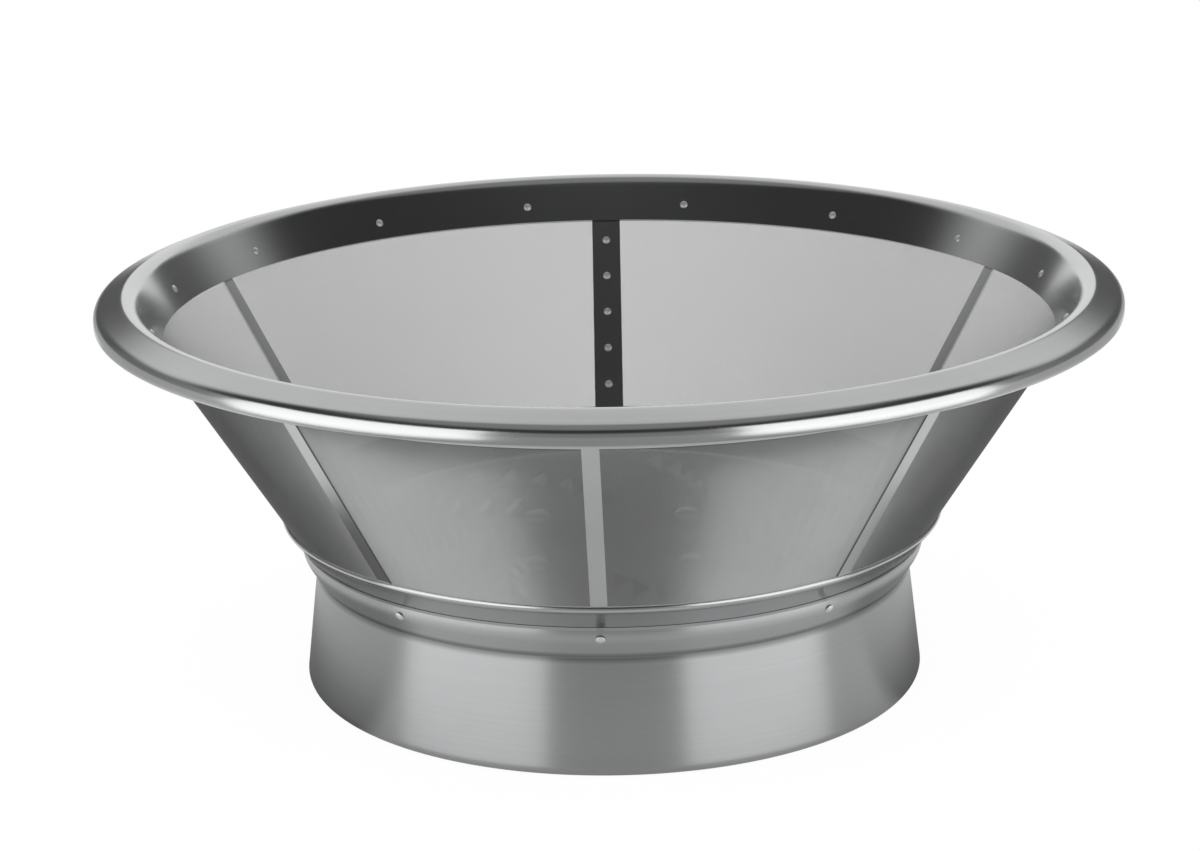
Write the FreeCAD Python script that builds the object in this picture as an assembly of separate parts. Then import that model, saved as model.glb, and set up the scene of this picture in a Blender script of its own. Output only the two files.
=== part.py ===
import FreeCAD, Part

import math
import os

# Filter basket of a centrifugal juicer, in millimetres.
# +Z runs up the axis and the origin is under the centre of the foot.
# Azimuths are in degrees. 0 is the front, at -Y, and they grow towards +X.

# Screen: an etched sheet rolled into a cone, which opens upwards
SCREEN_FOOT_Z = 20.5
SCREEN_FOOT_RADIUS = 52.1
CONE_HALF_ANGLE = 32.0
SCREEN_SHEET = 0.4
SCREEN_TOP_DROP = 3.0  # from the rim's crest down to the sheet's top edge

# Etched fields: slots stand in for rows of fine holes, with solid strips between the fields
STRIP_AZIMUTHS = (-116.0, -40.5, -2.5, 40.5, 115.5, 180.0)
STRIP_WIDTH = 3.0
SLOT_PITCH = 2.9
SLOT_OPENING = 1.5
LOWER_BORDER = 5.3  # solid sheet from the base's lip up to the fields
UPPER_BORDER = 1.6  # solid sheet from the fields up to the rim's collar

# Bead pressed into the lower border, just under the fields
BEAD_WIDTH = 1.0
BEAD_RISE = 0.25
BEAD_GAP = 0.3

# Lapped seam at the back, the last of the strips
SEAM_WIDTH = 5.5
SEAM_END_GAP = 0.4

# Rim: a spun ring with a collar inside the screen, a narrow crest, a sloping crown and an outer skirt
OVERALL_HEIGHT = 72.5
RIM_SHEET = 0.8
RIM_OVERHANG = 5.4  # past the screen's cone at the height of the crest
RIM_DEPTH = 4.3
COLLAR_DEPTH = 7.9
CREST_WIDTH = 2.0
CROWN_FALL = 1.95  # from the crest to the outer skirt
CREST_INNER_BEND = 1.9
CREST_OUTER_BEND = 1.5
SKIRT_BEND = 1.4

# Base: one spun sheet with a conical lip, a crease at the screen's foot, a skirt and a turned-in foot
BASE_SHEET = 0.9
LIP_RISE = 5.6  # of the lip's edge above the screen's foot
FOOT_RADIUS = 55.65
FOOT_WIDTH = 5.5
CREASE_BEND = 0.6
FOOT_BEND = 0.7

# Grater disc: a flat plate with a flange turned up against the screen
DISC_RISE = 2.5  # of its underside above the screen's foot
DISC_SHEET = 1.0
FLANGE_HEIGHT = 2.5
FLANGE_BEND = 1.0

# Grater teeth, punched up in curved arms
TOOTH_ARMS = 8
TEETH_PER_ARM = 6
TOOTH_LENGTH = 3.2
TOOTH_WIDTH = 1.3
TOOTH_HEIGHT = 1.9
TOOTH_ROOT = 0.4
TOOTH_FIRST_GAP = 1.7  # from the rivets' heads to the middle of the first row
TOOTH_LAST_GAP = 6.0  # from the middle of the last row to the flange
TOOTH_ARM_TWIST = 6.5

# Drive hub: a moulded flange and boss with a keyed socket for the motor's coupling
HUB_FLANGE_HEIGHT = 4.0
HUB_BOSS_RADIUS = 14.5
HUB_FLOOR_CLEARANCE = 3.0
HUB_FILLET = 1.5
HUB_EDGE = 0.6
SOCKET_RADIUS = 8.0
SOCKET_ROOF = 1.5
KEYWAY_COUNT = 3
KEYWAY_WIDTH = 3.2
KEYWAY_REACH = 3.2  # past the socket's wall

# Rivets from the disc through the hub's flange
RIVET_COUNT = 4
RIVET_RADIUS = 1.6
RIVET_CLEARANCE = 0.05
RIVET_HEAD_RADIUS = 2.9
RIVET_HEAD_HEIGHT = 1.2
RIVET_LAND = 0.5  # flat flange around each head

# Cutting shapes reach this far past what they cut
CUT_MARGIN = 2.0

# Heights and radii that follow from the sizes above
TILT = math.radians(CONE_HALF_ANGLE)
SCREEN_TOP_Z = OVERALL_HEIGHT - SCREEN_TOP_DROP
COLLAR_FOOT_Z = OVERALL_HEIGHT - COLLAR_DEPTH
LIP_TOP_Z = SCREEN_FOOT_Z + LIP_RISE
FIELD_BOTTOM_Z = LIP_TOP_Z + LOWER_BORDER
FIELD_TOP_Z = COLLAR_FOOT_Z - UPPER_BORDER
DISC_BOTTOM_Z = SCREEN_FOOT_Z + DISC_RISE
DISC_TOP_Z = DISC_BOTTOM_Z + DISC_SHEET
FLANGE_TOP_Z = DISC_BOTTOM_Z + FLANGE_HEIGHT
HUB_FLANGE_Z = DISC_BOTTOM_Z - HUB_FLANGE_HEIGHT
SOCKET_ROOF_Z = DISC_BOTTOM_Z - SOCKET_ROOF
RIVET_CIRCLE_RADIUS = HUB_BOSS_RADIUS + HUB_FILLET + RIVET_LAND + RIVET_HEAD_RADIUS
HUB_FLANGE_RADIUS = RIVET_CIRCLE_RADIUS + RIVET_HEAD_RADIUS + RIVET_LAND + HUB_EDGE

ORIGIN = FreeCAD.Vector(0, 0, 0)
UP = FreeCAD.Vector(0, 0, 1)


def cone_radius(z, depth=0.0):
    """Radius of the screen's outer face at a height, or of a face that lies deeper in by its thickness."""
    return SCREEN_FOOT_RADIUS + (z - SCREEN_FOOT_Z) * math.tan(TILT) - depth / math.cos(TILT)


def on_cone(z, depth=0.0):
    """A point of the half section on the screen's outer face, or deeper in."""
    return section_point(cone_radius(z, depth), z)


def section_point(radius, z):
    """A point of the half section, which is drawn in the XZ plane."""
    return FreeCAD.Vector(radius, 0, z)


def turned(section_face, angle=360.0):
    """Turns a half section about the axis."""
    return section_face.revolve(ORIGIN, UP, angle)


def at_azimuth(shape, azimuth):
    """A copy of a shape drawn towards +X, turned to an azimuth."""
    copy = shape.copy()
    copy.rotate(ORIGIN, UP, azimuth - 90.0)
    return copy


def polygon_face(points):
    return Part.Face(Part.makePolygon(points + points[:1]))


def heading(start, end):
    return (end - start).normalize()


def left_of(direction):
    """The direction to the left of a heading in the half section."""
    return FreeCAD.Vector(-direction.z, 0, direction.x)


def turns_left(before, after):
    return left_of(before).dot(after) > 0


def moved_sideways(corners, distance):
    """The corners of a path that runs beside another, to its left for a positive distance."""
    moved = []
    for index, corner in enumerate(corners):
        before = heading(corners[max(index - 1, 0)], corners[max(index, 1)])
        after = heading(corners[min(index, len(corners) - 2)], corners[min(index + 1, len(corners) - 1)])
        normals = left_of(before) + left_of(after)
        moved.append(corner + normals * (distance / (1.0 + before.dot(after))))
    return moved


def rounded_path(corners, radii):
    """Edges along a path, with an arc at each inner corner."""
    edges = []
    last = corners[0]
    for corner, following, radius in zip(corners[1:-1], corners[2:], radii):
        before = heading(last, corner)
        after = heading(corner, following)
        half_turn = before.getAngle(after) / 2.0
        reach = radius * math.tan(half_turn)
        inwards = heading(before, after)
        start = corner - before * reach
        middle = corner + inwards * (radius / math.cos(half_turn) - radius)
        end = corner + after * reach
        edges.append(Part.makeLine(last, start))
        edges.append(Part.Arc(start, middle, end).toShape())
        last = end
    edges.append(Part.makeLine(last, corners[-1]))
    return edges


def sheet_section(corners, bends, thickness, rounded_start, rounded_end):
    """Half section of a bent sheet. The corners run along one face and the sheet lies on its left for a
    positive thickness. The bends are the inside radii, and a free edge can be rounded over."""
    wall = abs(thickness)
    other = moved_sideways(corners, thickness)
    near_radii = []
    far_radii = []
    for index, bend in enumerate(bends):
        before = heading(corners[index], corners[index + 1])
        after = heading(corners[index + 1], corners[index + 2])
        near_is_inside = turns_left(before, after) != (thickness > 0)
        near_radii.append(bend if near_is_inside else bend + wall)
        far_radii.append(bend + wall if near_is_inside else bend)
    edges = rounded_path(corners, near_radii)
    edges.append(sheet_edge(corners[-1], other[-1], heading(corners[-2], corners[-1]), wall, rounded_end))
    edges += rounded_path(other, far_radii)[::-1]
    edges.append(sheet_edge(other[0], corners[0], heading(corners[1], corners[0]), wall, rounded_start))
    return Part.Face(Part.Wire(Part.__sortEdges__(edges)))


def sheet_edge(start, end, outwards, wall, rounded):
    """The end of a sheet's section, square or a half round."""
    if not rounded:
        return Part.makeLine(start, end)
    middle = (start + end) * 0.5 + outwards * (wall / 2.0)
    return Part.Arc(start, middle, end).toShape()


def cone_layer(bottom_z, top_z, outer_depth, inner_depth):
    """Half section of a layer along the cone, with level ends."""
    outer = [on_cone(bottom_z, outer_depth), on_cone(top_z, outer_depth)]
    inner = [on_cone(top_z, inner_depth), on_cone(bottom_z, inner_depth)]
    return polygon_face(outer + inner)


def make_rim_ring():
    """Collar, crest, sloping crown and outer skirt in one spun sheet, drawn along its visible face."""
    collar_depth = SCREEN_SHEET + RIM_SHEET
    crest_radius = cone_radius(OVERALL_HEIGHT, collar_depth)
    rim_radius = cone_radius(OVERALL_HEIGHT) + RIM_OVERHANG
    corners = [
        on_cone(COLLAR_FOOT_Z, collar_depth),
        section_point(crest_radius, OVERALL_HEIGHT),
        section_point(crest_radius + CREST_WIDTH, OVERALL_HEIGHT),
        section_point(rim_radius, OVERALL_HEIGHT - CROWN_FALL),
        section_point(rim_radius, OVERALL_HEIGHT - RIM_DEPTH),
    ]
    bends = [CREST_INNER_BEND, CREST_OUTER_BEND, SKIRT_BEND]
    return turned(sheet_section(corners, bends, -RIM_SHEET, False, True))


def slot_azimuths():
    """Slots spread evenly over each field, clear of the strips at its sides."""
    slots = []
    middle_radius = cone_radius((SCREEN_FOOT_Z + SCREEN_TOP_Z) / 2.0)
    strips = list(STRIP_AZIMUTHS) + [STRIP_AZIMUTHS[0] + 360.0]
    seam = STRIP_AZIMUTHS[-1]
    for start, end in zip(strips, strips[1:]):
        start_width = SEAM_WIDTH if start == seam else STRIP_WIDTH
        end_width = SEAM_WIDTH if end == seam else STRIP_WIDTH
        field_start = start + math.degrees(start_width / 2.0 / middle_radius)
        field_end = end - math.degrees(end_width / 2.0 / middle_radius)
        count = int((field_end - field_start) // SLOT_PITCH)
        pitch = (field_end - field_start) / count
        slots += [field_start + pitch * (index + 0.5) for index in range(count)]
    return slots


def make_bead():
    """A low ridge around the outside of the screen."""
    top_z = FIELD_BOTTOM_Z - BEAD_GAP
    bottom_z = top_z - BEAD_WIDTH * math.cos(TILT)
    middle = on_cone((top_z + bottom_z) / 2.0, -BEAD_RISE)
    ridge = Part.Arc(on_cone(bottom_z), middle, on_cone(top_z)).toShape()
    root = [on_cone(top_z), on_cone(top_z, SCREEN_SHEET), on_cone(bottom_z, SCREEN_SHEET), on_cone(bottom_z)]
    return turned(Part.Face(Part.Wire([ridge] + Part.makePolygon(root).Edges)))


def make_mesh_screen():
    """The cone with its bead and slots, and the inner layer of the lapped seam."""
    cone = turned(cone_layer(SCREEN_FOOT_Z, SCREEN_TOP_Z, 0.0, SCREEN_SHEET)).fuse(make_bead())
    slot_section = cone_layer(FIELD_BOTTOM_Z, FIELD_TOP_Z, -CUT_MARGIN, SCREEN_SHEET + CUT_MARGIN)
    slot = turned(slot_section, SLOT_OPENING)
    slot.rotate(ORIGIN, UP, -SLOT_OPENING / 2.0)
    screen = cone.cut([at_azimuth(slot, azimuth) for azimuth in slot_azimuths()])
    layer = turned(
        cone_layer(
            FLANGE_TOP_Z + SEAM_END_GAP,
            COLLAR_FOOT_Z - SEAM_END_GAP,
            SCREEN_SHEET,
            2.0 * SCREEN_SHEET,
        )
    )
    reach = cone_radius(OVERALL_HEIGHT)
    band = Part.makeBox(reach, SEAM_WIDTH, OVERALL_HEIGHT, FreeCAD.Vector(0, -SEAM_WIDTH / 2.0, 0))
    lap = layer.common(at_azimuth(band, STRIP_AZIMUTHS[-1]))
    return screen.fuse(lap).removeSplitter()


def make_base_drum():
    """Lip, crease, skirt and foot in one spun sheet, drawn along its outer face."""
    corners = [
        on_cone(LIP_TOP_Z, -BASE_SHEET),
        on_cone(SCREEN_FOOT_Z, -BASE_SHEET),
        section_point(FOOT_RADIUS, 0),
        section_point(FOOT_RADIUS - FOOT_WIDTH, 0),
    ]
    return turned(sheet_section(corners, [CREASE_BEND, FOOT_BEND], -BASE_SHEET, True, False))


def rivet_places():
    """Rivets on their circle, halfway between the front and the sides."""
    step = 360.0 / RIVET_COUNT
    return [step * (index + 0.5) for index in range(RIVET_COUNT)]


def rivet_holes():
    hole = Part.makeCylinder(
        RIVET_RADIUS + RIVET_CLEARANCE,
        OVERALL_HEIGHT,
        section_point(RIVET_CIRCLE_RADIUS, 0),
    )
    return [at_azimuth(hole, azimuth) for azimuth in rivet_places()]


def make_tooth(radius):
    """A tooth with an upright cutting face and a sloping back, at a radius towards +X."""
    root_z = DISC_TOP_Z - TOOTH_ROOT
    inner = radius - TOOTH_WIDTH / 2.0
    side = [
        FreeCAD.Vector(inner, 0, root_z),
        FreeCAD.Vector(inner, TOOTH_LENGTH, root_z),
        FreeCAD.Vector(inner, TOOTH_LENGTH, DISC_TOP_Z),
        FreeCAD.Vector(inner, 0, DISC_TOP_Z + TOOTH_HEIGHT),
    ]
    return polygon_face(side).extrude(FreeCAD.Vector(TOOTH_WIDTH, 0, 0))


def make_teeth():
    """Curved arms of teeth, from the rivets out to the flange."""
    first_radius = RIVET_CIRCLE_RADIUS + RIVET_HEAD_RADIUS + TOOTH_FIRST_GAP
    last_radius = cone_radius(DISC_TOP_Z, SCREEN_SHEET + DISC_SHEET) - TOOTH_LAST_GAP
    radius_step = (last_radius - first_radius) / (TEETH_PER_ARM - 1)
    teeth = []
    for row in range(TEETH_PER_ARM):
        tooth = make_tooth(first_radius + radius_step * row)
        for arm in range(TOOTH_ARMS):
            teeth.append(at_azimuth(tooth, 360.0 / TOOTH_ARMS * arm + TOOTH_ARM_TWIST * row))
    return teeth


def make_grater_disc():
    """Plate and flange in one sheet, with the teeth and the rivet holes."""
    corners = [
        section_point(0, DISC_BOTTOM_Z),
        on_cone(DISC_BOTTOM_Z, SCREEN_SHEET),
        on_cone(FLANGE_TOP_Z, SCREEN_SHEET),
    ]
    plate = turned(sheet_section(corners, [FLANGE_BEND], DISC_SHEET, False, False))
    return plate.cut(rivet_holes()).fuse(make_teeth())


def make_drive_hub():
    """Flange and boss with the socket, its keyways and the rivet holes."""
    corners = [
        section_point(0, HUB_FLOOR_CLEARANCE),
        section_point(HUB_BOSS_RADIUS, HUB_FLOOR_CLEARANCE),
        section_point(HUB_BOSS_RADIUS, HUB_FLANGE_Z),
        section_point(HUB_FLANGE_RADIUS, HUB_FLANGE_Z),
        section_point(HUB_FLANGE_RADIUS, DISC_BOTTOM_Z),
        section_point(0, DISC_BOTTOM_Z),
    ]
    edges = rounded_path(corners, [HUB_EDGE, HUB_FILLET, HUB_EDGE, HUB_EDGE])
    edges.append(Part.makeLine(corners[-1], corners[0]))
    body = turned(Part.Face(Part.Wire(edges)))
    socket = Part.makeCylinder(SOCKET_RADIUS, SOCKET_ROOF_Z)
    keyway = Part.makeBox(
        SOCKET_RADIUS + KEYWAY_REACH,
        KEYWAY_WIDTH,
        SOCKET_ROOF_Z,
        FreeCAD.Vector(0, -KEYWAY_WIDTH / 2.0, 0),
    )
    keyways = [at_azimuth(keyway, 360.0 / KEYWAY_COUNT * index) for index in range(KEYWAY_COUNT)]
    return body.cut([socket] + keyways + rivet_holes())


def dome_arc(base_z, rise):
    """The arc of a rivet's domed head, from its edge to the rivet's axis."""
    sphere_radius = (RIVET_HEAD_RADIUS**2 + rise**2) / (2.0 * abs(rise))
    half_angle = math.asin(RIVET_HEAD_RADIUS / sphere_radius) / 2.0
    drop = math.copysign(sphere_radius * (1.0 - math.cos(half_angle)), rise)
    middle = section_point(sphere_radius * math.sin(half_angle), base_z + rise - drop)
    edge = section_point(RIVET_HEAD_RADIUS, base_z)
    return Part.Arc(edge, middle, section_point(0, base_z + rise)).toShape()


def make_rivets():
    """Rivets with a domed head on the disc and another under the hub's flange."""
    shank = [
        section_point(RIVET_HEAD_RADIUS, HUB_FLANGE_Z),
        section_point(RIVET_RADIUS, HUB_FLANGE_Z),
        section_point(RIVET_RADIUS, DISC_TOP_Z),
        section_point(RIVET_HEAD_RADIUS, DISC_TOP_Z),
    ]
    axis_line = Part.makeLine(
        section_point(0, HUB_FLANGE_Z - RIVET_HEAD_HEIGHT),
        section_point(0, DISC_TOP_Z + RIVET_HEAD_HEIGHT),
    )
    heads = [dome_arc(HUB_FLANGE_Z, -RIVET_HEAD_HEIGHT), dome_arc(DISC_TOP_Z, RIVET_HEAD_HEIGHT)]
    edges = Part.makePolygon(shank).Edges + heads + [axis_line]
    rivet = turned(Part.Face(Part.Wire(Part.__sortEdges__(edges))))
    rivet.translate(section_point(RIVET_CIRCLE_RADIUS, 0))
    return Part.makeCompound([at_azimuth(rivet, azimuth) for azimuth in rivet_places()])


PARTS = {
    "rim_ring": make_rim_ring,
    "mesh_screen": make_mesh_screen,
    "base_drum": make_base_drum,
    "grater_disc": make_grater_disc,
    "drive_hub": make_drive_hub,
    "rivets": make_rivets,
}


def main():
    os.makedirs("parts", exist_ok=True)
    for node, make in PARTS.items():
        make().exportStep(f"parts/{node}.step")


main()
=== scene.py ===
"""Finished look of a juicer's filter basket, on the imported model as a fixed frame."""

import math

import bmesh
import bpy
import numpy as np
from bpy.props import FloatProperty, FloatVectorProperty, IntProperty, PointerProperty
from bpy.types import Operator, Panel, PropertyGroup
from mathutils import Matrix, Vector


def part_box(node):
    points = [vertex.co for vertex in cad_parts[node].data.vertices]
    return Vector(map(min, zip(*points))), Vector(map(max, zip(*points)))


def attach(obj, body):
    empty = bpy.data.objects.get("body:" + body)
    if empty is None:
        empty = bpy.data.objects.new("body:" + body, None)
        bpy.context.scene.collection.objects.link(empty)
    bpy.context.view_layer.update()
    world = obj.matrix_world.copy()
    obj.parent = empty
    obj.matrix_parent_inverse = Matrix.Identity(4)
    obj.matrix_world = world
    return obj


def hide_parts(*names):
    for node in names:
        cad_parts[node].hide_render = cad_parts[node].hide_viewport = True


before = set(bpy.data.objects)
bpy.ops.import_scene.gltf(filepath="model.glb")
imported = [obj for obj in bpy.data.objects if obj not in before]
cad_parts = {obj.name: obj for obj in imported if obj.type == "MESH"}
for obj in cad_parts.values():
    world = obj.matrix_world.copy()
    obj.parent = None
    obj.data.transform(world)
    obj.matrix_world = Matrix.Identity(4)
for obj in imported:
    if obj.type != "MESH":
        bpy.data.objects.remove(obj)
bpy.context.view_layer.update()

bl_info = {
    "name": "Juicer Mesh Screen",
    "version": (1, 0, 0),
    "blender": (4, 5, 0),
    "location": "View3D > Sidebar > Juicer Screen",
    "description": "Builds the steel filter basket of a juicer with its etched screen and studio stage",
    "category": "Object",
}

BODY = "root"
MILLIMETRE = 0.001
FULL_TURN = 2.0 * math.pi
BAKE_LAYER = "OFBake"

# Fineness of the meshes
SECTION_STEP = 0.6 * MILLIMETRE
ROUND_SEGMENTS = 320
BASE_SEGMENTS = 288
CREASE_ANGLE = math.radians(35.0)
WELD_CREASE_ANGLE = math.radians(60.0)
JOIN_DISTANCE = 0.002 * MILLIMETRE

# Shares of the bake tile that the small grids leave free or take up
TILE_MARGINS = (0.02, 0.05)
RING_BAND = (0.3, 0.7)
RIB_BAND = 0.2

# Share of a weld's rise by which its edge sinks into the sheet
WELD_SEATING = 0.3

# Spinning lines and smudges in the steel, as waves in a metre
LINE_DENSITY = 2600.0
LINE_SWEEP = 14.0
LINE_HEIGHT_SHARE = 1.7
SMUDGE_DENSITY = 55.0
GRAIN_IN_ROUGHNESS = 0.9
GRAIN_RELIEF = 0.02 * MILLIMETRE

# Painted shade: a dark line painted into the base's colour along its fold, where shade falls
PAINTED_CREASE_REACH = (0.2 * MILLIMETRE, 1.3 * MILLIMETRE)
PAINTED_CREASE_SHADE = 0.55

# Moulded plastic
TEXTURE_DENSITY = 2400.0
TEXTURE_RELIEF = 0.04 * MILLIMETRE
TEXTURE_STRENGTH = 0.25
FLOW_DENSITY = 90.0
NOISE_RANGE = (0.3, 0.7)
FLOW_SHADES = (0.9, 1.1)
PLASTIC_ROUGHNESS = (0.48, 0.6)

# Floor in the metal, in metres from the axis or along the view
CARD_SOFTNESS = 0.004
# Painted shadow: near the basket's foot the card in the metal is darkened by this share, over this reach
FOOT_SHADE = 0.72
FOOT_SHADE_REACH = (0.057, 0.064)
# Reach of the near floor, with the card in front and painted shade behind it
NEAR_FLOOR_EDGE = (0.078, 0.092)
FRONT_FLOOR_EDGE = (-0.14, -0.05)
SIDE_FLOOR_EDGE = (0.19, 0.28)
PAPER_EDGE = (0.15, 0.22)
PAPER_SOFTNESS = 0.02

# Room in the metal, as parts of a direction of length 1
SIDE_WALLS = (-0.75, -0.1)
BACK_WALLS = (0.2, 0.55)
BACK_CORNERS = (0.64, 0.74)
OVERHEAD = (0.78, 0.93)
CEILING_EDGE = (0.34, 0.53)
CEILING_LEAN = 0.06

# White floor for the camera
FLOOR_DROP = 0.1 * MILLIMETRE
FLOOR_COLOUR = (0.9, 0.9, 0.9, 1.0)
FLOOR_GLOW = 1.03
FLOOR_GLOW_SHARE = 0.92

SENSOR_WIDTH = 36.0
CLIP_START = 0.01
CLIP_END = 20.0

_, RIM_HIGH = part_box("rim_ring")
SCREEN_LOW, SCREEN_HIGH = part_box("mesh_screen")

# Azimuths of the solid strips, from the front towards the right, with the lapped seam last
STRIP_AZIMUTHS = tuple(math.radians(angle) for angle in (-116.0, -40.5, -2.5, 40.5, 115.5, 180.0))
SEAM_AZIMUTH = STRIP_AZIMUTHS[-1]
FRONT_AZIMUTH = STRIP_AZIMUTHS[2]


def length(name, description, default):
    """A size property, given in millimetres and stored in metres."""
    return FloatProperty(
        name=name,
        description=description,
        default=default * MILLIMETRE,
        unit="LENGTH",
        precision=5,
    )


def angle(name, description, default):
    """An angle property, given in degrees."""
    return FloatProperty(name=name, description=description, default=math.radians(default), subtype="ANGLE")


def colour(name, description, default):
    """A linear colour property."""
    return FloatVectorProperty(
        name=name, description=description, default=default, size=3, min=0.0, max=1.0, subtype="COLOR"
    )


def place(name, description, default):
    """A point property, in metres."""
    return FloatVectorProperty(
        name=name, description=description, default=default, size=3, subtype="TRANSLATION"
    )


def number(name, description, default):
    """A count of at least one."""
    return IntProperty(name=name, description=description, default=default, min=1)


def level(name, description, default):
    """A light level or a share, not below 0."""
    return FloatProperty(name=name, description=description, default=default, min=0.0)


class ScreenSizes(PropertyGroup):
    half_angle: angle("Cone half angle", "Slope of the screen from the axis", 32.0)
    sheet: length("Sheet", "Thickness of the screen's sheet", 0.4)
    field_bottom: length("Field bottom", "Height where the etched fields start", 31.4)
    field_top: length("Field top", "Height where the etched fields end", 64.4)
    strip_width: length("Strip width", "Solid strips between the fields", 2.8)
    seam_width: length("Seam width", "Lapped seam at the back", 5.5)
    lap_bottom: length("Lap bottom", "Lower end of the seam's inner layer", 25.9)
    lap_top: length("Lap top", "Upper end of the seam's inner layer", 64.2)
    bead_bottom: length("Bead bottom", "Height where the bead under the fields starts", 29.7)
    bead_top: length("Bead top", "Height where the bead under the fields ends", 31.3)
    bead_rise: length("Bead rise", "Height of the bead on the sheet", 0.5)
    pitch: length("Pitch", "Distance between the holes at mid height", 0.17)
    rib_width: length("Rib width", "Width of the bars along the slope", 0.025)
    rib_depth: length("Rib depth", "Thickness of the bars along the slope", 0.03)
    ring_width: length("Ring width", "Width of the bars around the cone", 0.0765)
    ring_depth: length("Ring depth", "Thickness of the bars around the cone", 0.118)
    ring_segments: number("Ring segments", "Sides of each half ring of metal", 90)


class RimSizes(PropertyGroup):
    sheet: length("Sheet", "Thickness of the rim's sheet", 0.8)
    collar_foot: length("Collar foot", "Height of the collar's lower edge", 64.6)
    depth: length("Depth", "From the crest down to the outer skirt's edge", 4.3)
    crest_width: length("Crest width", "Flat between the collar and the sloping crown", 2.0)
    crown_fall: length("Crown fall", "From the crest down to the outer skirt", 1.95)
    crest_inner_bend: length("Inner bend", "Inside radius between the collar and the crest", 1.9)
    crest_outer_bend: length("Outer bend", "Inside radius between the crest and the crown", 1.5)
    skirt_bend: length("Skirt bend", "Inside radius between the crown and the outer skirt", 1.4)


class BaseSizes(PropertyGroup):
    sheet: length("Sheet", "Thickness of the base's sheet", 0.9)
    lip_top: length("Lip top", "Height of the conical lip's edge", 26.1)
    lip_taper: length("Lip taper", "Height of the lip's thinner edge", 2.6)
    lip_thinning: level("Lip thinning", "Share of its sheet that the lip's edge loses", 0.96)
    foot_radius: length("Foot radius", "Radius of the foot", 55.65)
    foot_width: length("Foot width", "Width of the turned-in foot", 5.5)
    crease_bend: length("Crease bend", "Inside radius between the lip and the skirt", 0.6)
    foot_bend: length("Foot bend", "Inside radius of the foot", 0.7)


class WeldSizes(PropertyGroup):
    radius: length("Radius", "Radius of a spot weld's bead", 0.85)
    rise: length("Rise", "Height of a spot weld's bead", 0.28)
    collar_count: number("Collar welds", "Spot welds around the collar", 16)
    collar_height: length("Collar height", "Height of the collar's welds", 67.4)
    seam_bottom: length("Seam bottom", "Height of the lowest weld on the seam", 35.5)
    seam_step: length("Seam step", "Distance in height between the seam's welds", 6.35)
    seam_count: number("Seam welds", "Spot welds along the seam", 5)
    lip_height: length("Lip height", "Height of the welds on the base's lip", 24.4)


class Finishes(PropertyGroup):
    polished: colour("Polished steel", "Rim and strips", (0.652, 0.66, 0.662))
    spun: colour("Spun steel", "Base with circular grain", (0.612, 0.62, 0.624))
    # Painted highlight: the welds' pale colour stands in for the glints on their domes
    weld: colour("Spot welds", "Pale steel of the spot welds", (0.9, 0.9, 0.9))
    etched: colour("Etched steel", "Bars of the screen", (0.385, 0.39, 0.39))
    plastic: colour("Hub plastic", "Moulded drive hub", (0.045, 0.047, 0.05))


class StageSizes(PropertyGroup):
    eye: place("Eye", "Camera position", (-0.00189, -0.554, 0.207914))
    target: place("Target", "Point in the middle of the view", (-0.00189, 0.0, 0.044785))
    roll: angle("Roll", "Turn of the camera about its view", -0.991)
    lens: FloatProperty(name="Lens", description="Focal length in millimetres on a 36 mm sensor", default=97.06)
    floor_size: length("Floor size", "Side of the floor", 6000.0)
    backdrop_distance: length("Backdrop distance", "From the axis back to the backdrop", 600.0)
    backdrop_width: length("Backdrop width", "Width of the backdrop", 410.0)
    backdrop_height: length("Backdrop height", "Height of the backdrop", 420.0)
    box_distance: length("Softbox distance", "From the axis to each softbox", 250.0)
    box_azimuth: angle("Softbox azimuth", "From the front to the middle of each softbox", 49.0)
    box_width: length("Softbox width", "Width of each softbox", 248.0)
    box_height: length("Softbox height", "Height of each softbox", 195.0)
    box_level: level("Softbox level", "Brightness of the softboxes", 1.18)
    backdrop_level: level("Backdrop level", "Brightness of the backdrop in the metal", 0.85)
    front_level: level("Front level", "Brightness of the room in front", 0.27)
    side_level: level("Side level", "Brightness of the room at the sides", 0.27)
    back_level: level("Back level", "Brightness of the room beside the backdrop", 0.12)
    corner_level: level("Corner level", "Brightness of the room's back corners", 0.22)
    ceiling_level: level("Ceiling level", "Brightness of the dark ceiling in front", 0.03)
    zenith_level: level("Zenith level", "Brightness of the ceiling overhead", 0.3)
    back_ceiling_level: level("Back ceiling level", "Brightness of the ceiling above the backdrop", 0.86)
    floor_level: level("Floor level", "Brightness of the floor in front of the table", 0.3)
    side_floor_level: level("Side floor level", "Brightness of the floor beside the table", 0.72)
    room_floor_level: level("Room floor level", "Brightness of the floor far to the sides", 0.42)
    # Painted shade: the table is no object, only a dark level painted on the floor in the metal beside and
    # behind the basket
    painted_shade_level: level("Table level", "Brightness of the table beside the basket", 0.12)
    card_level: level("Card level", "Brightness of the card in front of the basket", 0.46)
    card_edge: length("Card edge", "Distance from the axis to the card's back edge", 29.0)
    card_skew: FloatProperty(name="Card skew", description="Slope of the card's back edge", default=0.12)


class JuicerScreen(PropertyGroup):
    screen: PointerProperty(type=ScreenSizes)
    rim: PointerProperty(type=RimSizes)
    base: PointerProperty(type=BaseSizes)
    welds: PointerProperty(type=WeldSizes)
    finishes: PointerProperty(type=Finishes)
    stage: PointerProperty(type=StageSizes)


# Cone and section geometry


def cone_radius(screen, z, depth=0.0):
    """Radius of the screen's outer face at a height, or of a face that lies deeper in."""
    drop = SCREEN_HIGH.z - z
    return SCREEN_HIGH.x - drop * math.tan(screen.half_angle) - depth / math.cos(screen.half_angle)


def on_cone(screen, z, depth=0.0):
    """A point of the half section on the screen's outer face, or deeper in."""
    return Vector((cone_radius(screen, z, depth), z))


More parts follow.
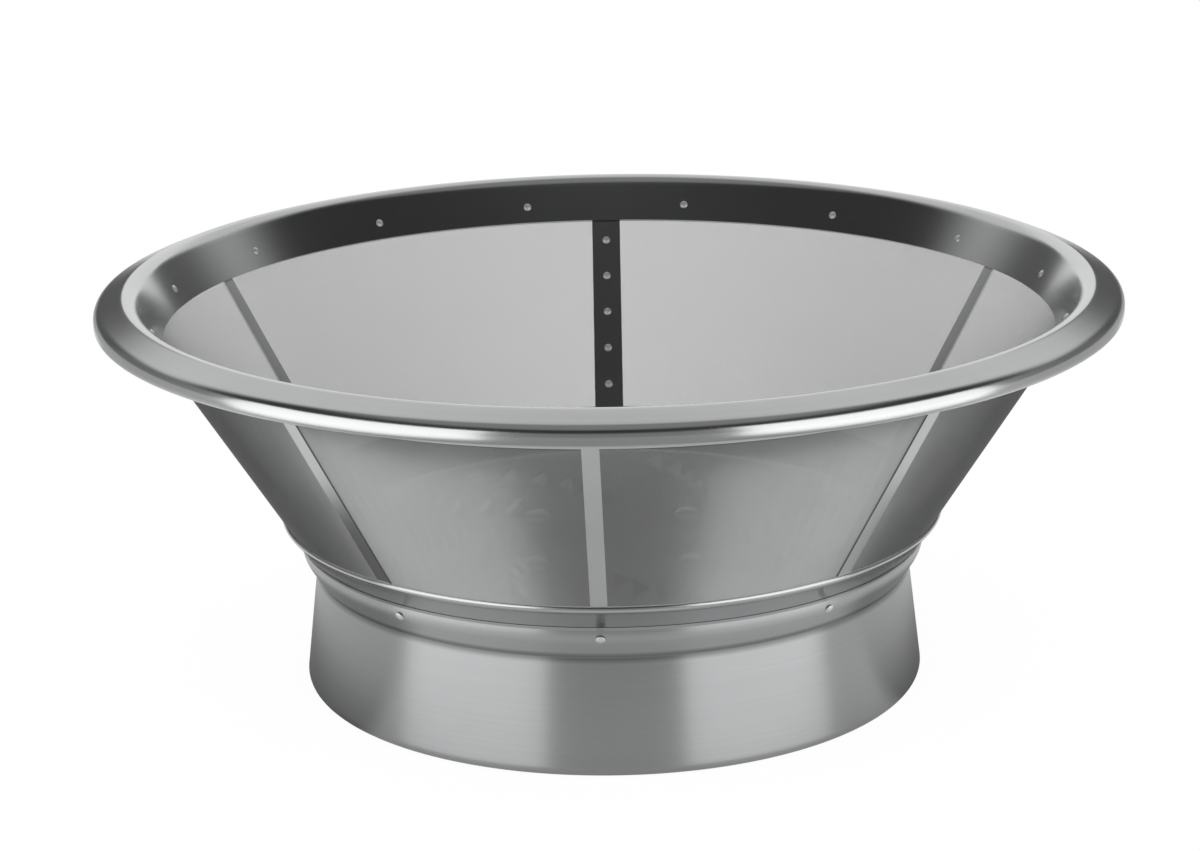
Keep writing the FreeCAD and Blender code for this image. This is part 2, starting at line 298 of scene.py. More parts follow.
def around(azimuth, radius, z):
    """A point at an azimuth, which is 0 at the front and grows towards the right."""
    return Vector((radius * math.sin(azimuth), -radius * math.cos(azimuth), z))


def left_of(direction):
    """A direction of the half section, turned to the left by a right angle."""
    return Vector((-direction.y, direction.x))


def moved_sideways(corners, distance):
    """The corners of a path that runs beside another, to its left for a positive distance."""
    moved = []
    last = len(corners) - 1
    for index, corner in enumerate(corners):
        before = (corners[max(index, 1)] - corners[max(index, 1) - 1]).normalized()
        after = (corners[min(index, last - 1) + 1] - corners[min(index, last - 1)]).normalized()
        normals = left_of(before) + left_of(after)
        moved.append(corner + normals * (distance / (1.0 + before.dot(after))))
    return moved


def stretch(start, end, step):
    """Points along a straight run, without its end."""
    count = max(1, round((end - start).length / step))
    return [start.lerp(end, index / count) for index in range(count)]


def rounded_path(corners, radii, step, arc_parts=10):
    """Points along a path with an arc at each inner corner."""
    points = []
    last = corners[0]
    for corner, following, radius in zip(corners[1:-1], corners[2:], radii):
        before = (corner - last).normalized()
        after = (following - corner).normalized()
        turn = before.angle_signed(after)
        reach = radius * math.tan(abs(turn) / 2.0)
        start = corner - before * reach
        side = math.copysign(1.0, before.x * after.y - before.y * after.x)
        centre = start + left_of(before) * radius * side
        points += stretch(last, start, step)
        spoke = start - centre
        for part in range(arc_parts):
            swing = Matrix.Rotation(side * abs(turn) * part / arc_parts, 2)
            points.append(centre + swing @ spoke)
        last = corner + after * reach
    points += stretch(last, corners[-1], step)
    points.append(corners[-1])
    return points


def sheet_outline(corners, bends, thickness, step, rounded_start, rounded_end):
    """Closed half section of a bent sheet. The corners run along one face and the sheet lies on its left for
    a positive thickness. The bends are inside radii, and a free edge can be rounded over."""
    wall = abs(thickness)
    other = moved_sideways(corners, thickness)
    near_radii = []
    far_radii = []
    for before, corner, after, bend in zip(corners, corners[1:], corners[2:], bends):
        turns_left = left_of(corner - before).dot(after - corner) > 0.0
        near_is_inside = turns_left != (thickness > 0.0)
        near_radii.append(bend if near_is_inside else bend + wall)
        far_radii.append(bend + wall if near_is_inside else bend)
    near = rounded_path(corners, near_radii, step)
    far = rounded_path(other, far_radii, step)
    outline = near
    if rounded_end:
        outline = outline + half_round(near[-1], far[-1], (corners[-1] - corners[-2]).normalized())
    outline = outline + far[::-1]
    if rounded_start:
        outline = outline + half_round(far[0], near[0], (corners[0] - corners[1]).normalized())
    return outline


def half_round(start, end, outwards, parts=8):
    """Points over a sheet's rounded edge, between its two faces."""
    centre = (start + end) / 2.0
    across = start - centre
    radius = across.length
    points = []
    for part in range(1, parts):
        swing = math.pi * part / parts
        points.append(centre + across * math.cos(swing) + outwards * radius * math.sin(swing))
    return points


# Mesh building


def new_piece(name, mesh, material, replaced=None):
    """Puts a mesh in the scene as a piece of the basket."""
    mesh.materials.append(material)
    piece = bpy.data.objects.new(name, mesh)
    bpy.context.scene.collection.objects.link(piece)
    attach(piece, BODY)
    if replaced:
        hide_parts(replaced)
    return piece


def grid_mesh(name, grids):
    """One mesh from grids of points with bake coordinates. Each grid is (points, coordinates), both of
    rows by columns, and its faces look towards the side from which rows run up as columns run right."""
    points = []
    coordinates = []
    faces = []
    offset = 0
    for grid, uv in grids:
        rows, columns = grid.shape[:2]
        index = offset + np.arange(rows * columns).reshape(rows, columns)
        corner = (index[:-1, :-1], index[:-1, 1:], index[1:, 1:], index[1:, :-1])
        faces.append(np.stack(corner, axis=-1).reshape(-1, 4))
        points.append(grid.reshape(-1, 3))
        coordinates.append(uv.reshape(-1, 2))
        offset += rows * columns
    points = np.concatenate(points)
    coordinates = np.concatenate(coordinates)
    faces = np.concatenate(faces)
    mesh = bpy.data.meshes.new(name)
    mesh.vertices.add(len(points))
    mesh.vertices.foreach_set("co", points.ravel())
    mesh.loops.add(faces.size)
    mesh.loops.foreach_set("vertex_index", faces.ravel())
    mesh.polygons.add(len(faces))
    mesh.polygons.foreach_set("loop_start", np.arange(0, faces.size, 4))
    mesh.polygons.foreach_set("use_smooth", np.ones(len(faces), dtype=bool))
    layer = mesh.uv_layers.new(name=BAKE_LAYER)
    layer.uv.foreach_set("vector", coordinates[faces.ravel()].ravel())
    mesh.update(calc_edges=True)
    mesh.validate()
    return mesh


def turned_grid(outline, segments):
    """Grid of a closed half section turned about the axis, with its seam at the back."""
    loop = np.array([tuple(point) for point in outline + outline[:1]])
    azimuths = np.linspace(-math.pi, math.pi, segments + 1)
    radius = loop[:, 0][:, None]
    grid = np.stack(
        (
            radius * np.sin(azimuths),
            -radius * np.cos(azimuths),
            np.broadcast_to(loop[:, 1][:, None], (len(loop), len(azimuths))),
        ),
        axis=-1,
    )
    run = np.concatenate(([0.0], np.cumsum(np.linalg.norm(np.diff(loop, axis=0), axis=1))))
    across, along = np.meshgrid(np.linspace(0.0, 1.0, segments + 1), run / run[-1])
    return grid, np.stack((across, along), axis=-1)


def turned_mesh(name, outlines, segments, crease):
    """Closed half sections turned about the axis, smooth apart from edges sharper than the crease."""
    mesh = grid_mesh(name, [turned_grid(outline, segments) for outline in outlines])
    weld_and_crease(mesh, crease)
    return mesh


def weld_and_crease(mesh, crease):
    """Joins the grids' seams and marks the sharp edges."""
    shape = bmesh.new()
    shape.from_mesh(mesh)
    bmesh.ops.remove_doubles(shape, verts=shape.verts, dist=JOIN_DISTANCE)
    bmesh.ops.recalc_face_normals(shape, faces=shape.faces)
    shape.to_mesh(mesh)
    shape.free()
    mesh.shade_smooth()
    mesh.set_sharp_from_angle(angle=crease)


def cone_slab(screen, azimuth, width, bottom, top, outer_depth, inner_depth, columns=7, rows=24):
    """Closed outline grids of a strip of sheet on the cone, of an even width."""
    across = np.linspace(-width / 2.0, width / 2.0, columns)
    heights = np.linspace(bottom, top, rows)

    def face(depth):
        radius = np.array([cone_radius(screen, z, depth) for z in heights])
        turn = azimuth + np.arcsin(across[None, :] / radius[:, None])
        spread = radius[:, None]
        level_z = np.broadcast_to(heights[:, None], turn.shape)
        return np.stack((spread * np.sin(turn), -spread * np.cos(turn), level_z), axis=-1)

    outer = face(outer_depth)
    inner = face(inner_depth)
    bottom_wall = np.stack((inner[0], outer[0]))
    top_wall = np.stack((outer[-1], inner[-1]))
    left_wall = np.stack((inner[:, 0], outer[:, 0]), axis=1)
    right_wall = np.stack((outer[:, -1], inner[:, -1]), axis=1)
    return [outer, inner[:, ::-1], bottom_wall, top_wall, left_wall, right_wall]


def packed_coordinates(grids):
    """Bake coordinates for many small grids, one above the other in a single tile."""
    side, end = TILE_MARGINS
    laid = []
    for index, grid in enumerate(grids):
        rows, columns = grid.shape[:2]
        across, along = np.meshgrid(np.linspace(side, 1.0 - side, columns), np.linspace(end, 1.0 - end, rows))
        laid.append((grid, np.stack((along, (index + across) / len(grids)), axis=-1)))
    return laid


def ring_bars(screen, count, start, end, first, last):
    """Bars that run around half of the cone, etched from both faces to a diamond section. Each side is a grid
    of its own, so it is smooth along the ring only."""
    tilt = screen.half_angle
    slope = np.array((math.sin(tilt), math.cos(tilt)))
    outwards = np.array((math.cos(tilt), -math.sin(tilt)))
    foot = np.array(on_cone(screen, start, screen.sheet / 2.0))
    run = (end - start) / math.cos(tilt)
    turn = np.linspace(0.0, 1.0, screen.ring_segments + 1)
    azimuths = first + (last - first) * turn
    half_width = screen.ring_width / 2.0
    half_depth = screen.ring_depth / 2.0
    signs = ((-1, 0), (0, 1), (1, 0), (0, -1))
    grids = []
    for index in range(count):
        middle = foot + slope * run * (index + 0.5) / count
        corners = [middle + slope * half_width * along + outwards * half_depth * out for along, out in signs]
        for near, far in zip(corners, corners[1:] + corners[:1]):
            pair = np.array((near, far))
            grid = np.stack(
                (
                    pair[:, :1] * np.sin(azimuths),
                    -pair[:, :1] * np.cos(azimuths),
                    np.broadcast_to(pair[:, 1:], (2, len(azimuths))),
                ),
                axis=-1,
            )
            across, along = np.meshgrid(turn, (index + np.array(RING_BAND)) / count)
            grids.append((grid, np.stack((across, along), axis=-1)))
    return grids


def rib_bars(screen, count, start, end, first, last):
    """Bars that run up half of the cone. Each side is a flat grid of its own."""
    tilt = screen.half_angle
    half_width = screen.rib_width / 2.0
    half_depth = screen.rib_depth / 2.0
    signs = ((-1, 1), (1, 1), (1, -1), (-1, -1))
    grids = []
    for index in range(count):
        turn = (index + 0.5) / count
        azimuth = first + (last - first) * turn
        radial = np.array((math.sin(azimuth), -math.cos(azimuth), 0.0))
        sideways = np.array((math.cos(azimuth), math.sin(azimuth), 0.0))
        outwards = radial * math.cos(tilt) - np.array((0.0, 0.0, math.sin(tilt)))
        ends = [np.array(around(azimuth, cone_radius(screen, z, screen.sheet / 2.0), z)) for z in (start, end)]
        corners = [sideways * half_width * side + outwards * half_depth * out for side, out in signs]
        for near, far in zip(corners, corners[1:] + corners[:1]):
            grid = np.array([[ends[0] + near, ends[0] + far], [ends[1] + near, ends[1] + far]])
            across, along = np.meshgrid((turn, turn + RIB_BAND / count), (0.0, 1.0))
            grids.append((grid, np.stack((across, along), axis=-1)))
    return grids


def feathered(outline, screen, base):
    """Thins a lip towards its edge, so that it runs into the screen almost without a step."""
    start = base.lip_top - base.lip_taper
    points = []
    for point in outline:
        share = min(max(point.y - start, 0.0) / base.lip_taper, 1.0)
        limit = base.sheet * (1.0 - base.lip_thinning * share ** 2) / math.cos(screen.half_angle)
        reach = min(point.x, cone_radius(screen, point.y) + limit) if share else point.x
        points.append(Vector((reach, point.y)))
    return points


def bead_outline(screen, parts=10):
    """Points over the low ridge under the fields, from its lower side to its upper one."""
    points = []
    for part in range(parts + 1):
        share = part / parts
        z = screen.bead_bottom + (screen.bead_top - screen.bead_bottom) * share
        points.append(on_cone(screen, z, -screen.bead_rise * (1.0 - (2.0 * share - 1.0) ** 2)))
    return points


def weld_grid(centre, normal, radius, rise, rings=4, segments=18):
    """A low dome that lies on a surface."""
    side = normal.orthogonal().normalized()
    ahead = normal.cross(side)
    rows = []
    for ring in range(rings + 1):
        share = ring / rings
        reach = radius * (1.0 - share)
        height = rise * (1.0 - (1.0 - share) ** 2) - rise * WELD_SEATING * (ring == 0)
        row = []
        for segment in range(segments + 1):
            swing = FULL_TURN * segment / segments
            offset = side * math.cos(swing) * reach + ahead * math.sin(swing) * reach
            row.append(tuple(centre + offset + normal * height))
        rows.append(row)
    return np.array(rows)


# Shader building


def new_material(name):
    """An empty node material with its output and a Principled shader."""
    material = bpy.data.materials.new(name)
    material.use_nodes = True
    tree = material.node_tree
    tree.nodes.clear()
    output = tree.nodes.new("ShaderNodeOutputMaterial")
    shader = tree.nodes.new("ShaderNodeBsdfPrincipled")
    tree.links.new(shader.outputs["BSDF"], output.inputs["Surface"])
    return material, tree, shader


def set_input(tree, socket, value):
    """Links a socket, or sets it to a plain value."""
    if isinstance(value, bpy.types.NodeSocket):
        tree.links.new(value, socket)
    else:
        socket.default_value = value


def math_node(tree, operation, first, second=0.0, third=0.0):
    """The result of one step of arithmetic."""
    node = tree.nodes.new("ShaderNodeMath")
    node.operation = operation
    for socket, value in zip(node.inputs, (first, second, third)):
        set_input(tree, socket, value)
    return node.outputs["Value"]


def mapped(tree, value, from_min, from_max, to_min, to_max, smooth=False):
    """A value moved from one range to another and held at its ends."""
    node = tree.nodes.new("ShaderNodeMapRange")
    node.interpolation_type = "SMOOTHSTEP" if smooth else "LINEAR"
    for name, number in (
        ("Value", value), ("From Min", from_min), ("From Max", from_max), ("To Min", to_min), ("To Max", to_max)
    ):
        set_input(tree, node.inputs[name], number)
    return node.outputs["Result"]


def eased(tree, value, limits):
    """A share that goes softly from 0 to 1 between two limits."""
    return mapped(tree, value, *limits, 0.0, 1.0, smooth=True)


def noise(tree, vector, scale, detail, roughness=0.5):
    """Cloudy values around one half."""
    node = tree.nodes.new("ShaderNodeTexNoise")
    set_input(tree, node.inputs["Vector"], vector)
    node.inputs["Scale"].default_value = scale
    node.inputs["Detail"].default_value = detail
    node.inputs["Roughness"].default_value = roughness
    return node.outputs["Fac"]


def scaled_colour(tree, tint, amount):
    """A colour times a value that changes over the surface."""
    node = tree.nodes.new("ShaderNodeMix")
    node.data_type = "RGBA"
    node.blend_type = "MULTIPLY"
    node.inputs["Factor"].default_value = 1.0
    set_input(tree, node.inputs["A"], tint)
    set_input(tree, node.inputs["B"], amount)
    return node.outputs["Result"]


def grain_group():
    """Circular spinning lines and soft smudges, shared by all the steel finishes."""
    name = "Spun grain"
    if name in bpy.data.node_groups:
        return bpy.data.node_groups[name]
    group = bpy.data.node_groups.new(name, "ShaderNodeTree")
    face = group.interface
    face.new_socket("Color", in_out="INPUT", socket_type="NodeSocketColor")
    for label, default in (("Roughness", 0.2), ("Lines", 0.1), ("Smudges", 0.1)):
        socket = face.new_socket(label, in_out="INPUT", socket_type="NodeSocketFloat")
        socket.default_value = default
    face.new_socket("Color", in_out="OUTPUT", socket_type="NodeSocketColor")
    face.new_socket("Roughness", in_out="OUTPUT", socket_type="NodeSocketFloat")
    face.new_socket("Height", in_out="OUTPUT", socket_type="NodeSocketFloat")
    given = group.nodes.new("NodeGroupInput")
    put_out = group.nodes.new("NodeGroupOutput")
    spot = group.nodes.new("ShaderNodeTexCoord").outputs["Object"]
    parts = group.nodes.new("ShaderNodeSeparateXYZ")
    group.links.new(spot, parts.inputs["Vector"])
    flat = group.nodes.new("ShaderNodeCombineXYZ")
    group.links.new(parts.outputs["X"], flat.inputs["X"])
    group.links.new(parts.outputs["Y"], flat.inputs["Y"])
    radius = group.nodes.new("ShaderNodeVectorMath")
    radius.operation = "LENGTH"
    group.links.new(flat.outputs["Vector"], radius.inputs[0])
    run = math_node(group, "MULTIPLY_ADD", parts.outputs["Z"], LINE_HEIGHT_SHARE, radius.outputs["Value"])
    streak = group.nodes.new("ShaderNodeCombineXYZ")
    group.links.new(math_node(group, "MULTIPLY", run, LINE_DENSITY), streak.inputs["X"])
    group.links.new(math_node(group, "MULTIPLY", parts.outputs["X"], LINE_SWEEP), streak.inputs["Y"])
    group.links.new(math_node(group, "MULTIPLY", parts.outputs["Y"], LINE_SWEEP), streak.inputs["Z"])
    lines = noise(group, streak.outputs["Vector"], 1.0, 3.0, 0.6)
    smudges = noise(group, spot, SMUDGE_DENSITY, 3.0, 0.55)
    centred_lines = math_node(group, "SUBTRACT", lines, 0.5)
    centred_smudges = math_node(group, "SUBTRACT", smudges, 0.5)
    line_share = math_node(group, "MULTIPLY", centred_lines, given.outputs["Lines"])
    smudge_share = math_node(group, "MULTIPLY", centred_smudges, given.outputs["Smudges"])
    change = math_node(group, "ADD", line_share, smudge_share)
    shade = math_node(group, "ADD", change, 1.0)
    group.links.new(scaled_colour(group, given.outputs["Color"], shade), put_out.inputs["Color"])
    rough_change = math_node(group, "MULTIPLY_ADD", change, GRAIN_IN_ROUGHNESS, 1.0)
    rough = math_node(group, "MULTIPLY", given.outputs["Roughness"], rough_change)
    group.links.new(rough, put_out.inputs["Roughness"])
    group.links.new(lines, put_out.inputs["Height"])
    return group


def painted_crease_shade(tree, crease):
    """Painted shade: darkening painted into the colour along a fold that runs around at a height."""
    _, _, z = split(tree, tree.nodes.new("ShaderNodeTexCoord").outputs["Object"])
    away = math_node(tree, "ABSOLUTE", math_node(tree, "SUBTRACT", z, crease))
    return mapped(tree, away, *PAINTED_CREASE_REACH, PAINTED_CREASE_SHADE, 1.0, smooth=True)


def steel(name, tint, roughness, lines, smudges, bump, anisotropy=0.0, crease=None):
    """A steel finish with circular grain. Anisotropy spreads reflections across the spinning lines, and a
    crease is the height of a fold along which shade is painted into the colour."""
    if name in bpy.data.materials:
        return bpy.data.materials[name]
    material, tree, shader = new_material(name)
    grain = tree.nodes.new("ShaderNodeGroup")
    grain.node_tree = grain_group()
    grain.inputs["Color"].default_value = (*tint, 1.0)
    grain.inputs["Roughness"].default_value = roughness
    grain.inputs["Lines"].default_value = lines
    grain.inputs["Smudges"].default_value = smudges
    relief = tree.nodes.new("ShaderNodeBump")
    relief.inputs["Strength"].default_value = bump
    relief.inputs["Distance"].default_value = GRAIN_RELIEF
    tree.links.new(grain.outputs["Height"], relief.inputs["Height"])
    shown = grain.outputs["Color"]
    # Painted shade: the colour is darkened along the fold at the crease height
    if crease is not None:
        shown = scaled_colour(tree, shown, painted_crease_shade(tree, crease))
    tree.links.new(shown, shader.inputs["Base Color"])
    tree.links.new(grain.outputs["Roughness"], shader.inputs["Roughness"])
    tree.links.new(relief.outputs["Normal"], shader.inputs["Normal"])
    shader.inputs["Metallic"].default_value = 1.0
    shader.inputs["Anisotropic"].default_value = anisotropy
    shader.inputs["Anisotropic Rotation"].default_value = 0.25 if anisotropy else 0.0
    return material


def polished_steel(finishes):
    """Bright steel of the rim and the disc."""
    return steel("Polished steel", finishes.polished, roughness=0.19, lines=0.10, smudges=0.12, bump=0.05)


def spun_steel(finishes):
    """Steel of the base, with visible spinning lines and shade painted along its fold."""
    return steel(
        "Spun steel",
        finishes.spun,
        roughness=0.34,
        lines=0.16,
        smudges=0.12,
        bump=0.12,
        anisotropy=0.93,
        # Painted shade along the fold between the lip and the skirt
        crease=SCREEN_LOW.z,
    )


def screen_steel(finishes):
    """Steel of the screen's borders, strips and seam."""
    return steel("Screen sheet steel", finishes.polished, roughness=0.2, lines=0.06, smudges=0.2, bump=0.03)


def weld_steel_with_painted_highlight(finishes):
    """Dull steel of the spot welds, with a pale colour that is a painted highlight standing in for their
    glints.
    """
    return steel("Weld steel with painted highlight", finishes.weld, roughness=0.5, lines=0.0, smudges=0.2, bump=0.0)


def etched_steel(finishes):
    """Duller steel of the etched bars."""
    return steel("Etched steel", finishes.etched, roughness=0.3, lines=0.04, smudges=0.25, bump=0.0)


def hub_plastic(finishes):
    """Moulded plastic with a fine spark-eroded texture."""
    material, tree, shader = new_material("Hub plastic")
    spot = tree.nodes.new("ShaderNodeTexCoord").outputs["Object"]
    texture = noise(tree, spot, TEXTURE_DENSITY, 2.0)
    flow = noise(tree, spot, FLOW_DENSITY, 3.0)
    shade = mapped(tree, flow, *NOISE_RANGE, *FLOW_SHADES)
    tree.links.new(scaled_colour(tree, (*finishes.plastic, 1.0), shade), shader.inputs["Base Color"])
    tree.links.new(mapped(tree, texture, *NOISE_RANGE, *PLASTIC_ROUGHNESS), shader.inputs["Roughness"])
    relief = tree.nodes.new("ShaderNodeBump")
    relief.inputs["Strength"].default_value = TEXTURE_STRENGTH
    relief.inputs["Distance"].default_value = TEXTURE_RELIEF
    tree.links.new(texture, relief.inputs["Height"])
    tree.links.new(relief.outputs["Normal"], shader.inputs["Normal"])
    return material


# Pieces


class JUICER_OT_rim(Operator):
    """Spun rim with its collar, crest, sloping crown and outer skirt"""

    bl_idname = "juicer.rim"
    bl_label = "Rim ring"

    def execute(self, context):
        settings = context.scene.juicer_screen
        screen = settings.screen
        rim = settings.rim
        depth = screen.sheet + rim.sheet
        crest = on_cone(screen, RIM_HIGH.z, depth)
        corners = [
            on_cone(screen, rim.collar_foot, depth),
            crest,
            crest + Vector((rim.crest_width, 0.0)),
            Vector((RIM_HIGH.x, crest.y - rim.crown_fall)),
            Vector((RIM_HIGH.x, crest.y - rim.depth)),
        ]
        bends = [rim.crest_inner_bend, rim.crest_outer_bend, rim.skirt_bend]
        outline = sheet_outline(corners, bends, -rim.sheet, SECTION_STEP, False, True)
        mesh = turned_mesh("rim", [outline], ROUND_SEGMENTS, CREASE_ANGLE)
        new_piece("rim", mesh, polished_steel(settings.finishes), "rim_ring")
        return {"FINISHED"}


class JUICER_OT_base(Operator):
    """Spun base with its lip, crease, skirt and turned-in foot"""

    bl_idname = "juicer.base"
    bl_label = "Base drum"

    def execute(self, context):
        settings = context.scene.juicer_screen
        screen = settings.screen
        base = settings.base
        corners = [
            on_cone(screen, base.lip_top, -base.sheet),
            on_cone(screen, SCREEN_LOW.z, -base.sheet),
            Vector((base.foot_radius, 0.0)),
            Vector((base.foot_radius - base.foot_width, 0.0)),
        ]
        bends = [base.crease_bend, base.foot_bend]
        outline = sheet_outline(corners, bends, -base.sheet, SECTION_STEP, True, False)
        mesh = turned_mesh("base", [feathered(outline, screen, base)], BASE_SEGMENTS, CREASE_ANGLE)
        new_piece("base", mesh, spun_steel(settings.finishes), "base_drum")
        return {"FINISHED"}


class JUICER_OT_screen_sheet(Operator):
    """Solid parts of the screen: borders with a bead, strips between the fields, and the lapped seam"""

    bl_idname = "juicer.screen_sheet"
    bl_label = "Screen borders and strips"

    def execute(self, context):
        settings = context.scene.juicer_screen
        screen = settings.screen
        sheet = screen.sheet
        borders = []
        for bottom, top in ((SCREEN_LOW.z, screen.field_bottom), (screen.field_top, SCREEN_HIGH.z)):
            outer = [on_cone(screen, bottom), on_cone(screen, top)]
            if bottom == SCREEN_LOW.z:
                outer[1:1] = bead_outline(screen)
            inner = [on_cone(screen, top, sheet), on_cone(screen, bottom, sheet)]
            borders.append(turned_grid(outer + inner, ROUND_SEGMENTS))
        slabs = []
        for azimuth in STRIP_AZIMUTHS:
            width = screen.seam_width if azimuth == SEAM_AZIMUTH else screen.strip_width
            slabs += cone_slab(screen, azimuth, width, screen.field_bottom, screen.field_top, 0.0, sheet)
        slabs += cone_slab(
            screen, SEAM_AZIMUTH, screen.seam_width, screen.lap_bottom, screen.lap_top, sheet, 2.0 * sheet
        )
        mesh = grid_mesh("screen_sheet", borders + packed_coordinates(slabs))
        weld_and_crease(mesh, CREASE_ANGLE)
        new_piece("screen_sheet", mesh, screen_steel(settings.finishes), "mesh_screen")
        return {"FINISHED"}


class JUICER_OT_screen_mesh(Operator):
    """Etched fields of the screen: ribs up the cone and rings around it, with holes between them"""

    bl_idname = "juicer.screen_mesh"
    bl_label = "Etched fields"

    def execute(self, context):
        settings = context.scene.juicer_screen
        screen = settings.screen
        start = screen.field_bottom - screen.ring_width
        end = screen.field_top + screen.ring_width
        middle_radius = cone_radius(screen, (start + end) / 2.0)
        slope_run = (end - start) / math.cos(screen.half_angle)
        ring_count = round(slope_run / screen.pitch)
        halves = {
            "screen_mesh_left": (-SEAM_AZIMUTH, FRONT_AZIMUTH),
            "screen_mesh_right": (FRONT_AZIMUTH, SEAM_AZIMUTH),
        }
        for name, (first, last) in halves.items():
            rib_count = round((last - first) * middle_radius / screen.pitch)
            rings = ring_bars(screen, ring_count, start, end, first, last)
            ribs = rib_bars(screen, rib_count, start, end, first, last)
            mesh = grid_mesh(name, rings + ribs)
            new_piece(name, mesh, etched_steel(settings.finishes), "mesh_screen")
        return {"FINISHED"}


class JUICER_OT_welds(Operator):
    """Spot welds on the collar, along the seam and on the base's lip"""

    bl_idname = "juicer.welds"
    bl_label = "Spot welds"

    def execute(self, context):
        settings = context.scene.juicer_screen
        screen = settings.screen
        welds = settings.welds
        tilt = screen.half_angle
        collar_depth = screen.sheet + settings.rim.sheet
        spots = []
        for index in range(welds.collar_count):
            azimuth = SEAM_AZIMUTH + FULL_TURN * (index + 0.5) / welds.collar_count
            spots.append((azimuth, welds.collar_height, collar_depth, -1.0))
        for index in range(welds.seam_count):
            spots.append((SEAM_AZIMUTH, welds.seam_bottom + index * welds.seam_step, 2.0 * screen.sheet, -1.0))
        for azimuth in STRIP_AZIMUTHS:
            spots.append((azimuth, welds.lip_height, -settings.base.sheet, 1.0))
        grids = []
        for azimuth, z, depth, side in spots:
            outwards = around(azimuth, math.cos(tilt), -math.sin(tilt))
            centre = around(azimuth, cone_radius(screen, z, depth), z)
            grids.append(weld_grid(centre, outwards * side, welds.radius, welds.rise))
        mesh = grid_mesh("spot_welds", packed_coordinates(grids))
        weld_and_crease(mesh, WELD_CREASE_ANGLE)
        new_piece("spot_welds", mesh, weld_steel_with_painted_highlight(settings.finishes))
        return {"FINISHED"}


class JUICER_OT_carried_finishes(Operator):
    """Finishes of the grater disc, the drive hub and the rivets, whose shapes stay as they are"""

    bl_idname = "juicer.carried_finishes"
    bl_label = "Disc, hub and rivets"

    def execute(self, context):
        finishes = context.scene.juicer_screen.finishes
        carried = {
            "grater_disc": polished_steel(finishes),
            "drive_hub": hub_plastic(finishes),
            "rivets": polished_steel(finishes),
        }
        for node, material in carried.items():
            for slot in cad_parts[node].material_slots:
                slot.material = material
        return {"FINISHED"}


# Stage


def quad(name, corners, material):
    """A flat stage panel."""
    mesh = bpy.data.meshes.new(name)
    mesh.from_pydata([tuple(corner) for corner in corners], [], [(0, 1, 2, 3)])
    mesh.materials.append(material)
    panel = bpy.data.objects.new(name, mesh)
    bpy.context.scene.collection.objects.link(panel)
    return panel


def emission(tree, strength):
    """An even glow."""
    node = tree.nodes.new("ShaderNodeEmission")
    set_input(tree, node.inputs["Strength"], strength)
    return node.outputs["Emission"]


def mixed_shader(tree, factor, first, second):
    """A shader that goes from the first to the second as the factor goes from 0 to 1."""
    node = tree.nodes.new("ShaderNodeMixShader")
    set_input(tree, node.inputs["Fac"], factor)
    tree.links.new(first, node.inputs[1])
    tree.links.new(second, node.inputs[2])
    return node.outputs["Shader"]


def stage_tree(name):
    """An empty node material for the stage, with its output."""
    material = bpy.data.materials.new(name)
    material.use_nodes = True
    tree = material.node_tree
    tree.nodes.clear()
    return material, tree, tree.nodes.new("ShaderNodeOutputMaterial")


def blended(tree, share, first, second):
    """A value that goes from the first to the second as the share goes from 0 to 1."""
    node = tree.nodes.new("ShaderNodeMix")
    for name, value in (("Factor", share), ("A", first), ("B", second)):
        set_input(tree, node.inputs[name], value)
    return node.outputs["Result"]


def split(tree, vector):
    """The three coordinates of a vector."""
    node = tree.nodes.new("ShaderNodeSeparateXYZ")
    tree.links.new(vector, node.inputs["Vector"])
    return node.outputs["X"], node.outputs["Y"], node.outputs["Z"]


def floor_in_metal(tree, stage):
    """Level of the floor in the metal: a pale card in front, painted shadow at the foot, painted shade beside
    and behind the basket, a plain floor around them brighter at the sides, and white paper that runs up to the
    backdrop."""
    spot = tree.nodes.new("ShaderNodeNewGeometry").outputs["Position"]
    x, y, _ = split(tree, spot)
    reach = tree.nodes.new("ShaderNodeVectorMath")
    reach.operation = "LENGTH"
    tree.links.new(spot, reach.inputs[0])
    distance = reach.outputs["Value"]
    edge = math_node(tree, "MULTIPLY_ADD", x, -stage.card_skew, y)
    off_card = eased(tree, edge, (-stage.card_edge - CARD_SOFTNESS, -stage.card_edge + CARD_SOFTNESS))
    # Painted shadow: the card dims near the basket's foot
    card_in_painted_shadow = FOOT_SHADE * stage.card_level
    card = mapped(tree, distance, *FOOT_SHADE_REACH, card_in_painted_shadow, stage.card_level, smooth=True)
    # Painted shade: behind the card's edge the floor in the metal is dark
    near = blended(tree, off_card, card, stage.painted_shade_level)
    levels = (stage.side_floor_level, stage.room_floor_level)
    outer_side_floor = mapped(tree, distance, *SIDE_FLOOR_EDGE, *levels, smooth=True)
    wide_floor = blended(tree, eased(tree, y, FRONT_FLOOR_EDGE), stage.floor_level, outer_side_floor)
    floor_with_painted_shade = blended(tree, eased(tree, distance, NEAR_FLOOR_EDGE), near, wide_floor)
    half_paper = stage.backdrop_width / 2.0
    aside = math_node(tree, "ABSOLUTE", x)
    within = mapped(tree, aside, half_paper - PAPER_SOFTNESS, half_paper, 1.0, 0.0, smooth=True)
    paper = math_node(tree, "MULTIPLY", within, eased(tree, y, PAPER_EDGE))
    return blended(tree, paper, floor_with_painted_shade, stage.backdrop_level)


